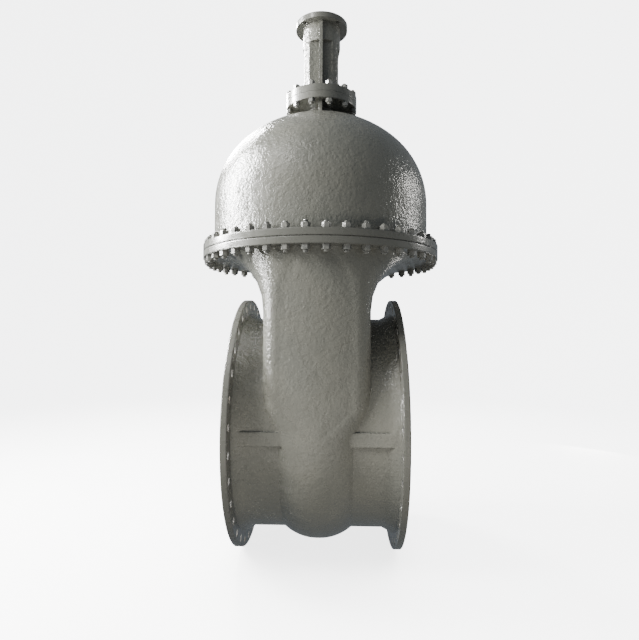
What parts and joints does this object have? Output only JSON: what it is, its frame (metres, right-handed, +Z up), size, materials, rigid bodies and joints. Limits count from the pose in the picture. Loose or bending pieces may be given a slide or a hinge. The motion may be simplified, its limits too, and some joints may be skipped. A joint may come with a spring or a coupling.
{
  "type": "wedge gate valve",
  "caption": "Large flanged wedge gate valve: oval gate housing, domed bonnet, ribbed neck and windowed yoke, with a non-rising stem that turns to lift the gate.",
  "frame": {"origin": "centre of the inlet flange's face, on the pipe axis", "axes": "+X along the pipe with the flow, towards the outlet flange; +Z up the stem; -Y to the front; the valve stands as in the picture, on its upright axis at x = 0.46"},
  "size_m": [1.4, 1.4796, 3.2515],
  "materials": {
    "castings": "semi-gloss warm grey paint over a rough cast skin",
    "bolting": "steel studs and hexagon nuts under the same grey paint",
    "gate_iron": "ductile iron casting, machined on the seat faces",
    "seat_steel": "stainless steel, turned and lapped",
    "stem_steel": "stainless steel bar, ground",
    "bronze": "machined bronze",
    "rail_steel": "milled steel bar",
    "plated_steel": "zinc plated steel",
    "bearing_steel": "ground bearing steel",
    "gasket_rubber": "flat rubber sheet",
    "packing": "braided graphite"
  },
  "bodies": {
    "root": {"body": "castings", "seat_ring_inlet": "seat_steel", "seat_ring_outlet": "seat_steel", "guide_rail_front": "rail_steel", "guide_rail_rear": "rail_steel", "bonnet": "castings", "bonnet_rail_front": "rail_steel", "bonnet_rail_rear": "rail_steel", "bonnet_gasket": "gasket_rubber", "bonnet_studs": "bolting", "bonnet_nuts_upper": "bolting", "bonnet_nuts_lower": "bolting", "neck_bush": "bronze", "packing_rings": "packing", "gland": "plated_steel", "gland_flange": "plated_steel", "gland_studs": "plated_steel", "gland_nuts": "plated_steel", "yoke": "castings", "yoke_studs": "bolting", "yoke_nuts_upper": "bolting", "yoke_nuts_lower": "bolting", "thrust_bearing_lower": "bearing_steel", "thrust_bearing_upper": "bearing_steel", "bearing_cover": "plated_steel", "cover_screws": "plated_steel"},
    "gate": {"wedge_gate": "gate_iron", "gate_ring_inlet": "seat_steel", "gate_ring_outlet": "seat_steel", "stem_nut": "bronze", "nut_retainer": "plated_steel", "retainer_screws": "plated_steel"},
    "stem": {"stem": "stem_steel"}
  },
  "joints": [
    {"name": "gate_lift", "type": "slide", "parent": "root", "child": "gate", "axis": [0, 0, 1], "range_m": [0, 1.18]},
    {"name": "stem_turn", "type": "hinge", "parent": "root", "child": "stem", "pos_m": [0.46, 0, 1.9], "axis": [0, 0, 1], "range_deg": [0, 21240]}
  ],
  "couplings": [
    {"joint": "stem_turn", "follows": "gate_lift", "rad_per_m": 314.16}
  ]
}
